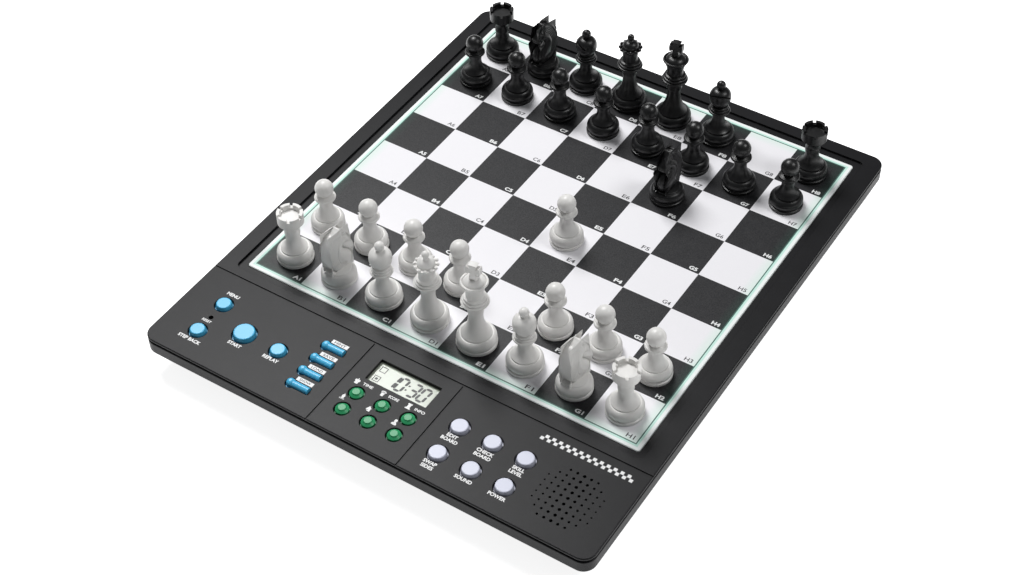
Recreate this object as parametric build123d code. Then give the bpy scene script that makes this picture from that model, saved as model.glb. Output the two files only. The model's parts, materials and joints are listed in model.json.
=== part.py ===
# Electronic chess computer: a flat two-shell case with a pressure-sensing board, a keypad,
# a display, a loudspeaker, a battery bay and a full set of chessmen. Millimetres.
#
# Frame: +X to the player's right along the ranks, +Y away from the player along the files, +Z up.
# The origin is at the middle of the footprint, on the surface that the rubber feet stand on.
# Every name that ends in inset is a distance inwards from the nearest edge of the case.
from build123d import *
import math
import os

# ---------------------------------------------------------------- board
square = 32.0
squares_across = 8
board_border = 4.3
board_corner = 1.8
panel_thickness = 1.8
panel_chamfer = 0.4
membrane_thickness = 0.8
membrane_inset = 1.5
pocket_gap = 0.35
pocket_floor = 1.7
recess_gap = 4.8
recess_depth = 1.6
recess_corner = 3.4
panel_drop = 1.0
tub_wall = 2.0

# ---------------------------------------------------------------- case
side_margin = 19.6
rear_margin = 18.2
keypad_margin = 80.8
foot_height = 1.5
case_height = 24.5
case_corner = 8.0
top_wall = 2.2
wall = 2.0
rim_height = 1.2
rim_round = 0.7
seam_gap = 1.8
tray_height = 9.0
tray_round = 2.2
tray_inner_round = 1.5
tray_lip_round = 0.7
base_inset = 12.0
base_corner = 8.0
base_chamfer = 1.0
tongue_wall = 1.5
tongue_gap = 0.25
tongue_depth = 4.0
groove_width = 1.0
groove_depth = 0.6
keypad_groove_inset = 65.3
display_groove_xs = (-31.1, 28.6)

# ---------------------------------------------------------------- keys
key_travel = 1.5
key_gap = 0.7
key_flange = 1.3
key_flange_height = 1.0
key_flange_gap = 0.1
key_round_bulge = 0.29
key_shell = 1.2
key_stem_radius = 1.1
well_chamfer = 0.4
dome_gap = 0.15
dome_height = 1.2
dome_radius = 2.2
mat_thickness = 0.8
mat_margin = 3.0
sheet_corner = 2.0
pcb_thickness = 1.5
pcb_margin = 4.0

blue_radius = 4.8
blue_rise = 1.8
blue_taper = 0.4
blue_round = 0.7
blue_column_x = -122.6
blue_column_offset = 11.7
blue_right_x = -74.2
large_blue_radius = 6.6
large_blue_rise = 2.4
large_blue_x = -98.2
keypad_row_inset = 31.5

bar_length = 14.8
bar_width = 4.4
bar_gap = 0.4
bar_flange = 1.0
bar_head_radius = 2.6
bar_head_side = 1.0
bar_head_rise = 2.7
bar_head_flat = 0.8
bar_head_bulge = 0.3
bar_head_gap = 1.0
bar_pitch = 10.8
bar_count = 4
bar_x = -48.7
bar_row_inset = 32.7

green_radius = 3.9
green_rise = 1.5
green_taper = 1.4
green_round = 0.5
green_pitch_x = 17.3
green_pitch_y = 13.1
green_x = -1.3
green_row_inset = 23.1

grey_radius = 5.2
grey_rise = 1.9
grey_taper = 0.3
grey_round = 0.7
grey_pitch_x = 21.0
grey_pitch_y = 21.1
grey_x = 64.0
grey_row_inset = 28.9

reset_hole_radius = 1.4
reset_body = 4.5
reset_body_height = 1.6
reset_plunger_radius = 0.9
reset_plunger_height = 0.8

# ---------------------------------------------------------------- display
display_x = -0.75
display_inset = 49.1
window_width = 40.6
window_depth = 16.3
window_corner = 0.4
glass_margin_x = 2.7
glass_margin_y = 2.8
glass_thickness = 2.5
glass_gap = 0.1
glass_ledge = 1.1
holder_wall = 1.5
holder_gap = 0.2
holder_corner = 1.0
holder_drop = 0.3
strip_width = 1.8
strip_gap = 0.15

# ---------------------------------------------------------------- loudspeaker
speaker_x = 117.0
speaker_inset = 29.7
speaker_radius = 19.5
speaker_frame_height = 1.6
speaker_basket_radius = 15.0
speaker_basket_flare = 2.0
speaker_basket_height = 3.6
speaker_magnet_radius = 8.5
speaker_magnet_height = 2.8
speaker_surround_radius = 18.0
speaker_surround_width = 4.0
speaker_surround_bulge = 0.6
speaker_cone_depth = 1.1
speaker_cap_rise = 0.6
speaker_ring_wall = 1.4
speaker_ring_depth = 2.0
speaker_gap = 0.2
grille_pitch = 4.2
grille_rows = (5, 7, 9, 9, 9, 9, 9, 7, 5)
grille_hole_radius = 0.92
grille_hole_fade = 0.11

# ---------------------------------------------------------------- fasteners and feet
screw_radius = 1.25
screw_head_radius = 2.4
screw_head_height = 1.6
screw_slot_width = 0.6
screw_slot_depth = 0.7
screw_slot_reach = 0.7
screw_tip_gap = 0.5
screw_grip = 7.0
post_radius = 3.3
post_foot_z = 12.0
boss_radius = 3.8
screw_hole_gap = 0.25
head_hole_gap = 0.4
front_post_xs = (-87.0, -34.5, 29.5, 96.0)
front_post_inset = 18.5
rear_post_x = 95.0
rear_post_inset = 22.5
side_post_inset = 21.6
side_post_y = 8.0
pcb_screw_xs = (-130.0, -62.5, -33.0, 31.5, 90.0)
pcb_screw_inset = 56.5
pcb_screw_length = 4.0
pcb_screw_tip_gap = 0.3
pcb_hole_gap = 0.12
pcb_boss_radius = 2.4
small_screw_radius = 0.9
small_head_radius = 1.8
small_head_height = 1.2
foot_radius = 7.0
foot_sink = 0.8
foot_gap = 0.1
foot_round = 0.5
foot_inset = 26.5

# ---------------------------------------------------------------- batteries
cell_radius = 7.25
cell_length = 49.2
cell_button_radius = 2.75
cell_button_height = 1.2
cell_count = 3
cell_pitch = 15.1
cell_gap = 0.3
bay_wall = 1.3
bay_end_room = 4.0
door_thickness = 1.8
door_gap = 0.2
door_tongue = 1.2
door_lip = 0.7
door_grip_count = 4
door_grip_pitch = 3.0
door_grip_depth = 0.5
contact_thickness = 0.4
contact_size = 11.0
spring_radius = 3.2
spring_wire_radius = 0.4
spring_turns = 3

# ---------------------------------------------------------------- internal leads and circuit parts
lead_radius = 0.7
lead_spacing = 2.4
lead_bend_share = 0.45
ribbon_width = 36.0
ribbon_thickness = 0.3
ribbon_drop_inset = 79.5
ribbon_x = -60.0
ribbon_slot_gap = 0.5
connector_depth = 5.0
connector_height = 2.4
connector_margin = 2.0
chip_size = 14.0
chip_corner = 0.5
chip_lead_row = 11.2
chip_height = 1.6
chip_lead_reach = 1.6
chip_lead_height = 0.4
chip_x = 55.0
chip_inset = 49.5

# ---------------------------------------------------------------- chessmen
foot_disc_height = 2.0
foot_disc_edge = 0.5
foot_groove_depth = 0.8
foot_groove_height = 0.7
foot_ring_top = 8.3
foot_ring_step = 2.2
foot_ring_bulge = 1.2
foot_step = 0.8
collar_bulge = 0.45
collar_groove = 0.3
collar_step = 1.0

neck_ring_bulge = 0.3

king_foot = 11.9
king_neck = 4.8
king_neck_z = 27.0
king_bell = 2.1
king_collars = (7.8, 7.0, 6.2)
king_collar_z = 33.0
king_collar_height = 1.7
king_waist = 5.2
king_waist_height = 2.6
king_crown = 8.0
king_crown_z = 48.6
king_crown_flare = 0.6
king_lip = 1.3
king_lip_drop = 0.5
king_boss = 2.7
king_boss_z = 51.4
king_height = 62.2
cross_width = 8.6
cross_thickness = 3.8
cross_arm = 1.7
cross_flare = 1.0
cross_bulge = 0.3

queen_foot = 11.5
queen_neck = 4.6
queen_neck_z = 25.0
queen_bell = 1.9
queen_collars = (7.6, 6.8, 6.0)
queen_collar_z = 30.4
queen_collar_height = 1.6
queen_waist = 4.8
queen_waist_height = 1.6
queen_crown = 7.0
queen_crown_z = 45.0
queen_crown_flare = 0.8
queen_dome = 5.2
queen_dome_rise = 4.6
queen_dome_bulge = 1.2
queen_dome_tip = 1.6
queen_ball = 2.2
queen_height = 54.6
queen_lobe_count = 12
queen_lobe_radius = 1.1

bishop_foot = 11.0
bishop_neck = 4.0
bishop_neck_z = 18.6
bishop_bell = 1.6
bishop_collars = (6.4, 5.6, 5.0)
bishop_collar_z = 22.2
bishop_collar_height = 1.6
bishop_head = 6.7
bishop_head_z = 34.0
bishop_head_bulges = (1.0, 1.5)
bishop_ball = 2.9
bishop_height = 45.0
bishop_slot = 0.8
bishop_slot_depth = 5.0
bishop_slot_tilt = 38.0

rook_foot = 11.0
rook_neck = 4.6
rook_neck_z = 20.0
rook_neck_length = 2.0
rook_bell = 1.7
rook_head = 7.8
rook_head_z = 29.0
rook_head_flare = 1.2
rook_height = 36.2
rook_cup = 5.9
rook_cup_depth = 3.2
rook_cup_taper = 0.4
rook_notch_count = 6
rook_notch_width = 1.9
rook_notch_depth = 1.9

pawn_foot = 10.4
pawn_neck = 4.2
pawn_neck_z = 19.4
pawn_neck_length = 1.0
pawn_bell = 1.5
pawn_collar = 6.4
pawn_collar_z = 22.4
pawn_collar_height = 1.7
pawn_head = 5.6
pawn_height = 35.2

ball_neck_share = 0.6
ball_neck_drop = 0.5

# The knight's horse, seen from its right side with the nose towards +: (forward, up) above the foot's
# top, and the bulge of the edge that reaches the corner.
knight_foot = 10.7
knight_sink = 0.4
knight_side = (
    (-4.6, 0.0, 0.6),
    (5.4, 0.0),
    (8.6, 8.2, 1.1),
    (2.7, 17.6, 1.9),
    (5.0, 18.4, -0.4),
    (7.6, 17.6, 0.3),
    (9.2, 20.6, 1.0),
    (4.6, 26.4, -0.5),
    (3.2, 30.2, -0.2),
    (1.6, 31.0, 0.4),
    (-1.4, 29.4, 0.2),
    (-2.7, 27.4),
    (-3.5, 27.0),
    (-4.4, 27.6, 0.2),
    (-8.4, 15.0, 1.5),
)
# The same horse from the front: half width and height at each corner.
knight_front = (
    (2.6, 0.0, 0.0),
    (4.6, 9.0, 0.5),
    (4.2, 18.0, 0.0),
    (3.6, 31.5, 0.2),
)

# ================================================================ levels and places
board_span = square * squares_across
case_width = board_span + 2 * side_margin
case_depth = board_span + rear_margin + keypad_margin
board_y = (keypad_margin - rear_margin) / 2
top_z = foot_height + case_height
plate_z = top_z - top_wall
rim_z = top_z - rim_height
tray_top_z = rim_z - seam_gap
tray_z = tray_top_z - tray_height
base_z = foot_height
floor_z = base_z + wall
panel_size = board_span + 2 * board_border
panel_z = top_z - panel_drop
membrane_z = panel_z - panel_thickness
pocket_z = membrane_z - membrane_thickness
tub_z = pocket_z - pocket_floor
pocket_size = panel_size + 2 * pocket_gap
recess_size = panel_size + 2 * recess_gap
tub_size = recess_size + 2 * tub_wall
key_top_limit_z = plate_z - key_flange_gap
key_foot_z = key_top_limit_z - key_flange_height
dome_top_z = key_foot_z - key_travel - dome_gap
mat_top_z = dome_top_z - dome_height
mat_z = mat_top_z - mat_thickness
pcb_z = mat_z - pcb_thickness
glass_z = plate_z - glass_gap - glass_thickness
glass_width = window_width + 2 * glass_margin_x
glass_depth = window_depth + 2 * glass_margin_y
holder_width = glass_width + 2 * (holder_wall + holder_gap)
holder_depth = glass_depth + 2 * (holder_wall + holder_gap)
case_edge_x = case_width / 2
case_edge_y = case_depth / 2
keypad_groove_y = keypad_groove_inset - case_edge_y
keypad_row_y = keypad_row_inset - case_edge_y
bar_row_y = bar_row_inset - case_edge_y
green_row_y = green_row_inset - case_edge_y
grey_row_y = grey_row_inset - case_edge_y
display_y = display_inset - case_edge_y
speaker_y = speaker_inset - case_edge_y
front_post_y = front_post_inset - case_edge_y
rear_post_y = case_edge_y - rear_post_inset
side_post_x = case_edge_x - side_post_inset
pcb_screw_y = pcb_screw_inset - case_edge_y
foot_x = case_edge_x - foot_inset
foot_y = case_edge_y - foot_inset
ribbon_drop_y = ribbon_drop_inset - case_edge_y
chip_y = chip_inset - case_edge_y

blue_keys = {
    "blue_key_rear_left": (blue_column_x, keypad_row_y + blue_column_offset),
    "blue_key_front_left": (blue_column_x, keypad_row_y - blue_column_offset),
    "blue_key_right": (blue_right_x, keypad_row_y),
}
large_blue_place = (large_blue_x, keypad_row_y)
bar_head_x = bar_head_radius - bar_length / 2
reset_place = (blue_column_x, keypad_row_y)


def grid_keys(name, x, y, pitch_x, pitch_y):
    """Centres of two rows of three keys about (x, y), named by row and column."""
    rows = {"rear": y + pitch_y / 2, "front": y - pitch_y / 2}
    columns = {"left": x - pitch_x, "middle": x, "right": x + pitch_x}
    return {f"{name}_{r}_{c}": (columns[c], rows[r]) for r in rows for c in columns}


green_keys = grid_keys("green_key", green_x, green_row_y, green_pitch_x, green_pitch_y)
grey_keys = grid_keys("grey_key", grey_x, grey_row_y, grey_pitch_x, grey_pitch_y)
bar_keys = {
    f"bar_key_{n + 1}": (bar_x, bar_row_y + ((bar_count - 1) / 2 - n) * bar_pitch)
    for n in range(bar_count)
}
round_keys = [(place, blue_radius) for place in blue_keys.values()]
round_keys.append((large_blue_place, large_blue_radius))
round_keys += [(place, green_radius) for place in green_keys.values()]
round_keys += [(place, grey_radius) for place in grey_keys.values()]

case_screw_places = [(x, front_post_y) for x in front_post_xs]
case_screw_places += [(side * rear_post_x, rear_post_y) for side in (-1, 1)]
case_screw_places += [(side * side_post_x, side_post_y) for side in (-1, 1)]
pcb_screw_places = [(x, pcb_screw_y) for x in pcb_screw_xs]
foot_places = [(sx * foot_x, sy * foot_y) for sx in (-1, 1) for sy in (-1, 1)]

bay_width = cell_length + cell_button_height + 2 * bay_end_room
bay_depth = cell_pitch * cell_count + 2 * cell_gap
base_edge_x = case_edge_x - base_inset
base_edge_y = case_edge_y - base_inset
bay_rear_y = base_edge_y - wall
bay_y = bay_rear_y - bay_depth / 2
bay_front_y = bay_rear_y - bay_depth
door_top_z = base_z + door_thickness
cell_z = door_top_z + cell_gap + cell_radius
bay_ceiling_z = cell_z + cell_radius + cell_gap / 2
cell_ys = [bay_y + (n - (cell_count - 1) / 2) * cell_pitch for n in range(cell_count)]


# ================================================================ shared shapes
def slab(width, depth, low, high, corner=0.0, x=0.0, y=0.0):
    """A flat block from z = low to z = high, with rounded upright corners."""
    outline = RectangleRounded(width, depth, corner) if corner > 0 else Rectangle(width, depth)
    return Pos(x, y, low) * extrude(outline, amount=high - low)


def rod(radius, low, high, x=0.0, y=0.0):
    """An upright cylinder from z = low to z = high."""
    return Pos(x, y, low) * extrude(Circle(radius), amount=high - low)


def bulged(start, end, bulge):
    """An arc from start to end whose middle stands out by bulge to the right of the way it goes."""
    dx = end[0] - start[0]
    dy = end[1] - start[1]
    length = math.hypot(dx, dy)
    middle = ((start[0] + end[0]) / 2 + bulge * dy / length, (start[1] + end[1]) / 2 - bulge * dx / length)
    return ThreePointArc(start, middle, end)


def closed_outline(points):
    """A face from (a, b) corners; a third number on a corner is the bulge of the edge that reaches it."""
    edges = []
    for before, point in zip(points, points[1:] + points[:1]):
        if len(point) > 2 and point[2]:
            edges.append(bulged(before[:2], point[:2], point[2]))
        else:
            edges.append(Line(before[:2], point[:2]))
    return make_face(edges)


def turned(points):
    """A solid of revolution about Z from (radius, height) corners, first and last on the axis."""
    return revolve(Plane.XZ * closed_outline(points), axis=Axis.Z)


# ================================================================ case
def seam_outline(inset, low, high):
    """A block that follows the outer edge of the case at the given inset."""
    corner = case_corner - inset
    return slab(case_width - 2 * inset, case_depth - 2 * inset, low, high, corner)


def bar_outline(head_grow, bar_grow):
    """Plan of a bar key, grown by the given amounts: a round head with a slim bar to its right."""
    length = bar_length - bar_head_radius + bar_grow
    bar = Pos(bar_head_x + length / 2, 0, 0) * Rectangle(length, bar_width + 2 * bar_grow)
    return bar + Pos(bar_head_x, 0, 0) * Circle(bar_head_radius + head_grow)


def key_wells():
    """Everything cut through the top plate for the keys, with a small chamfer at each round mouth."""
    cuts = []
    for (x, y), radius in round_keys:
        hole = radius + key_gap
        cuts.append(rod(hole, plate_z - 1, top_z + 1, x, y))
        mouth = Cone(hole, hole + well_chamfer, well_chamfer, align=(Align.CENTER, Align.CENTER, Align.MIN))
        cuts.append(Pos(x, y, top_z - well_chamfer) * mouth)
    for x, y in bar_keys.values():
        cuts.append(Pos(x, y, plate_z - 1) * extrude(bar_outline(bar_head_gap, bar_gap), amount=top_wall + 2))
    cuts.append(rod(reset_hole_radius, plate_z - 1, top_z + 1, *reset_place))
    return cuts


def grille_holes():
    """The loudspeaker's holes, which shrink from the middle column to the sides."""
    holes = []
    for row, count in enumerate(grille_rows):
        y = speaker_y + ((len(grille_rows) - 1) / 2 - row) * grille_pitch
        for column in range(count):
            step = column - (count - 1) / 2
            radius = grille_hole_radius - grille_hole_fade * abs(step)
            holes.append(rod(radius, plate_z - 1, top_z + 1, speaker_x + step * grille_pitch, y))
    return holes


def panel_grooves():
    """The shallow lines that part the keypad from the board and divide it into three fields."""
    low = top_z - groove_depth
    across = slab(case_width + 2, groove_width, low, top_z + 1, y=keypad_groove_y)
    length = keypad_groove_y + case_edge_y + 1
    middle = keypad_groove_y - length / 2
    return [across] + [slab(groove_width, length, low, top_z + 1, x=x, y=middle) for x in display_groove_xs]


def make_top_cover():
    tongue_inset = wall + tongue_gap
    inner_inset = tongue_inset + tongue_wall
    cover = seam_outline(0, rim_z, top_z)
    cover = fillet(cover.faces().sort_by(Axis.Z)[-1].edges(), rim_round)
    cover += seam_outline(tongue_inset, rim_z - tongue_depth, rim_z)
    cover -= seam_outline(inner_inset, rim_z - tongue_depth, plate_z)
    tub = slab(tub_size, tub_size, tub_z, plate_z, recess_corner + tub_wall, y=board_y)
    cover += tub
    for x, y in case_screw_places:
        cover += rod(post_radius, post_foot_z, plate_z, x, y)
    for x, y in pcb_screw_places:
        cover += rod(pcb_boss_radius, mat_z, plate_z, x, y)
    cover += rod(speaker_radius + speaker_gap + speaker_ring_wall, plate_z - speaker_ring_depth, plate_z,
                 speaker_x, speaker_y)
    cover -= rod(speaker_radius + speaker_gap, plate_z - speaker_ring_depth, plate_z, speaker_x, speaker_y)
    cover -= slab(recess_size, recess_size, top_z - recess_depth, top_z + 1, recess_corner, y=board_y)
    cover -= slab(pocket_size, pocket_size, pocket_z, top_z, board_corner + pocket_gap, y=board_y)
    slot_width = ribbon_width + 2 * ribbon_slot_gap
    cover -= slab(slot_width, ribbon_thickness + 2 * ribbon_slot_gap, tub_z - 1, pocket_z + 1,
                  x=ribbon_x, y=ribbon_drop_y)
    cover -= slab(window_width, window_depth, plate_z - 1, top_z + 1, window_corner, x=display_x, y=display_y)
    for cut in key_wells() + grille_holes() + panel_grooves():
        cover -= cut
    for x, y in case_screw_places:
        cover -= rod(screw_radius, post_foot_z, post_foot_z + screw_grip, x, y)
    for x, y in pcb_screw_places:
        cover -= rod(small_screw_radius, mat_z, mat_z + pcb_screw_length, x, y)
    return cover


def bay_shell():
    """The walls and ceiling of the battery bay, inside the bottom cover."""
    width = bay_width + 2 * bay_wall
    depth = bay_depth + bay_wall + wall
    middle = bay_front_y - bay_wall + depth / 2
    return slab(width, depth, base_z, bay_ceiling_z + bay_wall, y=middle)


def door_outline_cuts():
    """The bay's mouth in the floor, with the grooves that the door's side tongues run in."""
    run = base_edge_y - bay_front_y + 1
    middle = bay_front_y + run / 2
    mouth = slab(bay_width, run, base_z - 1, floor_z, y=middle)
    grooves = slab(bay_width + 2 * (door_tongue + door_gap), run, base_z + door_lip, floor_z, y=middle)
    return [mouth, grooves]


def make_bottom_cover():
    tray = seam_outline(0, tray_z, tray_top_z)
    tray = fillet(tray.faces().sort_by(Axis.Z)[0].edges(), tray_round)
    tray = fillet(tray.faces().sort_by(Axis.Z)[-1].edges(), tray_lip_round)
    base = slab(2 * base_edge_x, 2 * base_edge_y, base_z, tray_z + wall, base_corner)
    base = chamfer(base.faces().sort_by(Axis.Z)[0].edges(), base_chamfer)
    inside = seam_outline(wall, tray_z + wall, tray_top_z)
    inside = fillet(inside.faces().sort_by(Axis.Z)[0].edges(), tray_inner_round)
    cavity = slab(2 * (base_edge_x - wall), 2 * (base_edge_y - wall), floor_z, tray_top_z, base_corner - wall)
    cover = tray + base - inside - cavity
    cover += bay_shell()
    cover -= slab(bay_width, bay_depth, base_z - 1, bay_ceiling_z, y=bay_y)
    for cut in door_outline_cuts():
        cover -= cut
    for x, y in case_screw_places:
        cover += rod(boss_radius, floor_z, post_foot_z, x, y)
    for x, y in case_screw_places:
        cover -= rod(screw_radius + screw_hole_gap, base_z, post_foot_z, x, y)
        cover -= rod(screw_head_radius + head_hole_gap, base_z, base_z + wall + screw_head_height, x, y)
    for x, y in foot_places:
        cover -= rod(foot_radius + foot_gap, base_z, base_z + foot_sink, x, y)
    return cover


# ================================================================ board
def make_board_panel():
    panel = slab(panel_size, panel_size, membrane_z, panel_z, board_corner, y=board_y)
    return chamfer(panel.faces().sort_by(Axis.Z)[-1].edges(), panel_chamfer)


def make_sensor_membrane():
    size = panel_size - 2 * membrane_inset
    return slab(size, size, pocket_z, membrane_z, board_corner, y=board_y)


def ribbon_run_z():
    """Height of the ribbon's level run, halfway up the connector under the board."""
    return pcb_z - connector_height / 2


def make_membrane_ribbon():
    """The flat tail of the membrane: down through its slot, then forward into the connector."""
    low = ribbon_run_z()
    drop = slab(ribbon_width, ribbon_thickness, low, pocket_z, x=ribbon_x, y=ribbon_drop_y)
    rear = ribbon_drop_y + ribbon_thickness / 2
    front = connector_rear_y()
    run = slab(ribbon_width, rear - front, low, low + ribbon_thickness, x=ribbon_x, y=(rear + front) / 2)
    return drop + run


# ================================================================ keypad electronics
keypad_left = blue_column_x - blue_radius - key_flange
keypad_right = grey_x + grey_pitch_x + grey_radius + key_flange
keypad_front = green_row_y - green_pitch_y / 2 - green_radius - key_flange
keypad_rear = keypad_groove_y
mat_left = keypad_left - mat_margin / 2
mat_right = keypad_right + mat_margin / 2
mat_front = keypad_front - mat_margin / 2
mat_rear = keypad_rear - mat_margin


def connector_rear_y():
    return keypad_rear - connector_margin


def make_main_pcb():
    left = keypad_left - pcb_margin
    right = keypad_right + pcb_margin
    front = keypad_front - pcb_margin
    middle_x = (left + right) / 2
    middle_y = (front + keypad_rear) / 2
    board = slab(right - left, keypad_rear - front, pcb_z, mat_z, sheet_corner, middle_x, middle_y)
    for x, y in case_screw_places:
        board -= rod(post_radius + key_gap, pcb_z - 1, mat_z + 1, x, y)
    for x, y in pcb_screw_places:
        board -= rod(small_screw_radius + pcb_hole_gap, pcb_z - 1, mat_z + 1, x, y)
    return board


def key_places():
    return [place for place, radius in round_keys] + list(bar_keys.values())


def make_key_mat():
    """A silicone sheet with one dome under each key; the domes are drawn pressed flat."""
    width = mat_right - mat_left
    depth = mat_rear - mat_front
    middle_x = (mat_left + mat_right) / 2
    middle_y = (mat_front + mat_rear) / 2
    mat = slab(width, depth, mat_z, mat_top_z, sheet_corner, middle_x, middle_y)
    mat -= slab(holder_width + 2 * key_gap, 2 * holder_depth, mat_z - 1, mat_top_z + 1,
                x=display_x, y=display_y + holder_depth / 2)
    for x, y in case_screw_places:
        mat -= rod(post_radius + key_gap, mat_z - 1, mat_top_z + 1, x, y)
    for x, y in pcb_screw_places:
        mat -= rod(pcb_boss_radius + key_gap, mat_z - 1, mat_top_z + 1, x, y)
    mat -= rod(reset_body, mat_z - 1, mat_top_z + 1, *reset_place)
    for x, y in key_places():
        mat += rod(dome_radius, mat_top_z, dome_top_z, x, y)
    return mat


def make_reset_switch():
    x, y = reset_place
    body = slab(reset_body, reset_body, mat_z, mat_z + reset_body_height, x=x, y=y)
    top = mat_z + reset_body_height
    return body + rod(reset_plunger_radius, top, top + reset_plunger_height, x, y)


def make_processor_chip():
    """A square flat package under the circuit board, standing on a row of leads along each side."""
    low = pcb_z - chip_lead_height - chip_height
    body = slab(chip_size, chip_size, low, pcb_z - chip_lead_height, chip_corner, chip_x, chip_y)
    span = chip_size + 2 * chip_lead_reach
    leads = slab(span, chip_lead_row, pcb_z - chip_lead_height, pcb_z, x=chip_x, y=chip_y)
    leads += slab(chip_lead_row, span, pcb_z - chip_lead_height, pcb_z, x=chip_x, y=chip_y)
    return body + leads


def make_ribbon_connector():
    rear = connector_rear_y()
    width = ribbon_width + 2 * connector_margin
    low = pcb_z - connector_height
    return slab(width, connector_depth, low, pcb_z, x=ribbon_x, y=rear - connector_depth / 2)


# ================================================================ display
def make_lcd_glass():
    """Two sheets of glass, the lower one longer at front and rear for its contact rows."""
    upper = glass_thickness / 2
    lower = slab(glass_width, glass_depth, glass_z, glass_z + upper, x=display_x, y=display_y)
    upper_depth = glass_depth - 2 * glass_ledge
    return lower + slab(glass_width, upper_depth, glass_z + upper, glass_z + glass_thickness,
                        x=display_x, y=display_y)


def strip_offset():
    return (glass_depth - strip_width) / 2 - strip_gap


def make_lcd_holder():
    """The frame that seats the glass, stands on the circuit board and keeps the contact strips upright."""
    frame_top_z = glass_z + glass_thickness - holder_drop
    frame = slab(holder_width, holder_depth, mat_z, frame_top_z, holder_corner, display_x, display_y)
    seat_depth = glass_depth + 2 * holder_gap
    frame -= slab(glass_width + 2 * holder_gap, seat_depth, glass_z, top_z, x=display_x, y=display_y)
    frame -= slab(window_width, window_depth - 2 * strip_width, mat_z - 1, top_z, x=display_x, y=display_y)
    for side in (-1, 1):
        frame -= slab(window_width + 2 * strip_gap, strip_width + 2 * strip_gap, mat_z - 1, top_z,
                      x=display_x, y=display_y + side * strip_offset())
    return frame


def make_lcd_strips():
    """The two elastomer strips that carry the signals from the circuit board up to the glass."""
    return [slab(window_width, strip_width, mat_z, glass_z, x=display_x, y=display_y + side * strip_offset())
            for side in (-1, 1)]


# ================================================================ loudspeaker
def make_speaker():
    rim = plate_z
    frame_z = rim - speaker_frame_height
    basket_z = frame_z - speaker_basket_height
    magnet_z = basket_z - speaker_magnet_height
    cone_z = rim - speaker_cone_depth
    speaker = turned([
        (0, magnet_z),
        (speaker_magnet_radius, magnet_z),
        (speaker_magnet_radius, basket_z),
        (speaker_basket_radius, basket_z),
        (speaker_basket_radius + speaker_basket_flare, frame_z),
        (speaker_radius, frame_z),
        (speaker_radius, rim),
        (speaker_surround_radius, rim),
        (speaker_surround_radius - speaker_surround_width, rim, -speaker_surround_bulge),
        (speaker_magnet_radius / 2, cone_z),
        (0, cone_z + speaker_cap_rise),
    ])
    return Pos(speaker_x, speaker_y, 0) * speaker


# ================================================================ leads
def bend_radii(points):
    """The largest arc for each corner: a share of the shorter run over the tangent of half the turn."""
    radii = []
    for a, b, c in zip(points, points[1:], points[2:]):
        into = Vector(b) - Vector(a)
        out = Vector(c) - Vector(b)
        half_turn = math.radians(into.get_angle(out)) / 2
        radii.append(lead_bend_share * min(into.length, out.length) / math.tan(half_turn))
    return radii


def lead(points):
    """One insulated wire along straight runs joined by tangent arcs."""
    radii = bend_radii(points)
    print("lead bends", [round(radius, 1) for radius in radii])
    path = FilletPolyline(*points, radius=radii)
    start = Plane(origin=path @ 0, z_dir=path % 0)
    return sweep(start * Circle(lead_radius), path=path)


def pair_of_leads(points, offset):
    """Two equal wires side by side, the second one shifted by offset."""
    moved = [tuple(p + o for p, o in zip(point, offset)) for point in points]
    return [lead(points), lead(moved)]


def make_battery_lead():
    """Both battery wires: out of the bay's front wall, along the case floor, up to the circuit board."""
    bed = floor_z + 2 * lead_radius
    start_y = bay_front_y - bay_wall
    end_y = keypad_rear - 8.0
    points = [
        (18.0, start_y, cell_z),
        (18.0, start_y - 22.0, cell_z - 4.0),
        (22.0, start_y - 62.0, bed),
        (34.0, start_y - 108.0, bed),
        (38.0, start_y - 160.0, bed + 0.3),
        (30.0, end_y + 26.0, bed + 2.0),
        (22.0, end_y + 6.0, pcb_z - 6.0),
        (20.0, end_y, pcb_z),
    ]
    return pair_of_leads(points, (lead_spacing, 0.0, 0.0))


def make_speaker_lead():
    """Both loudspeaker wires, from the basket's edge to the circuit board."""
    basket_side_x = speaker_x - speaker_basket_radius - 1.0
    start_z = plate_z - speaker_frame_height - speaker_basket_height / 2
    end_x = grey_x + grey_pitch_x
    points = [
        (basket_side_x, speaker_y + 2.0, start_z),
        (basket_side_x - 5.0, speaker_y + 4.0, pcb_z - 4.0),
        (end_x + 5.0, speaker_y + 6.0, pcb_z - 4.6),
        (end_x, speaker_y + 6.5, pcb_z),
    ]
    return pair_of_leads(points, (0.0, lead_spacing, 0.0))


# ================================================================ batteries and door
def make_batteries():
    """Three round cells side by side, turned alternately end for end."""
    cell = rod(cell_radius, 0, cell_length)
    cell += rod(cell_button_radius, cell_length, cell_length + cell_button_height)
    half = (cell_length + cell_button_height) / 2
    cells = []
    for n, y in enumerate(cell_ys):
        turn = 90 if n % 2 == 0 else -90
        cells.append(Pos(0, y, cell_z) * Rot(0, turn, 0) * Pos(0, 0, -half) * cell)
    return cells


def coil_spring(length):
    """A small helical contact spring along Z, starting at z = 0."""
    path = Helix(pitch=length / spring_turns, height=length, radius=spring_radius)
    start = Plane(origin=path @ 0, z_dir=path % 0)
    return sweep(start * Circle(spring_wire_radius), path=path, is_frenet=True)


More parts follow.
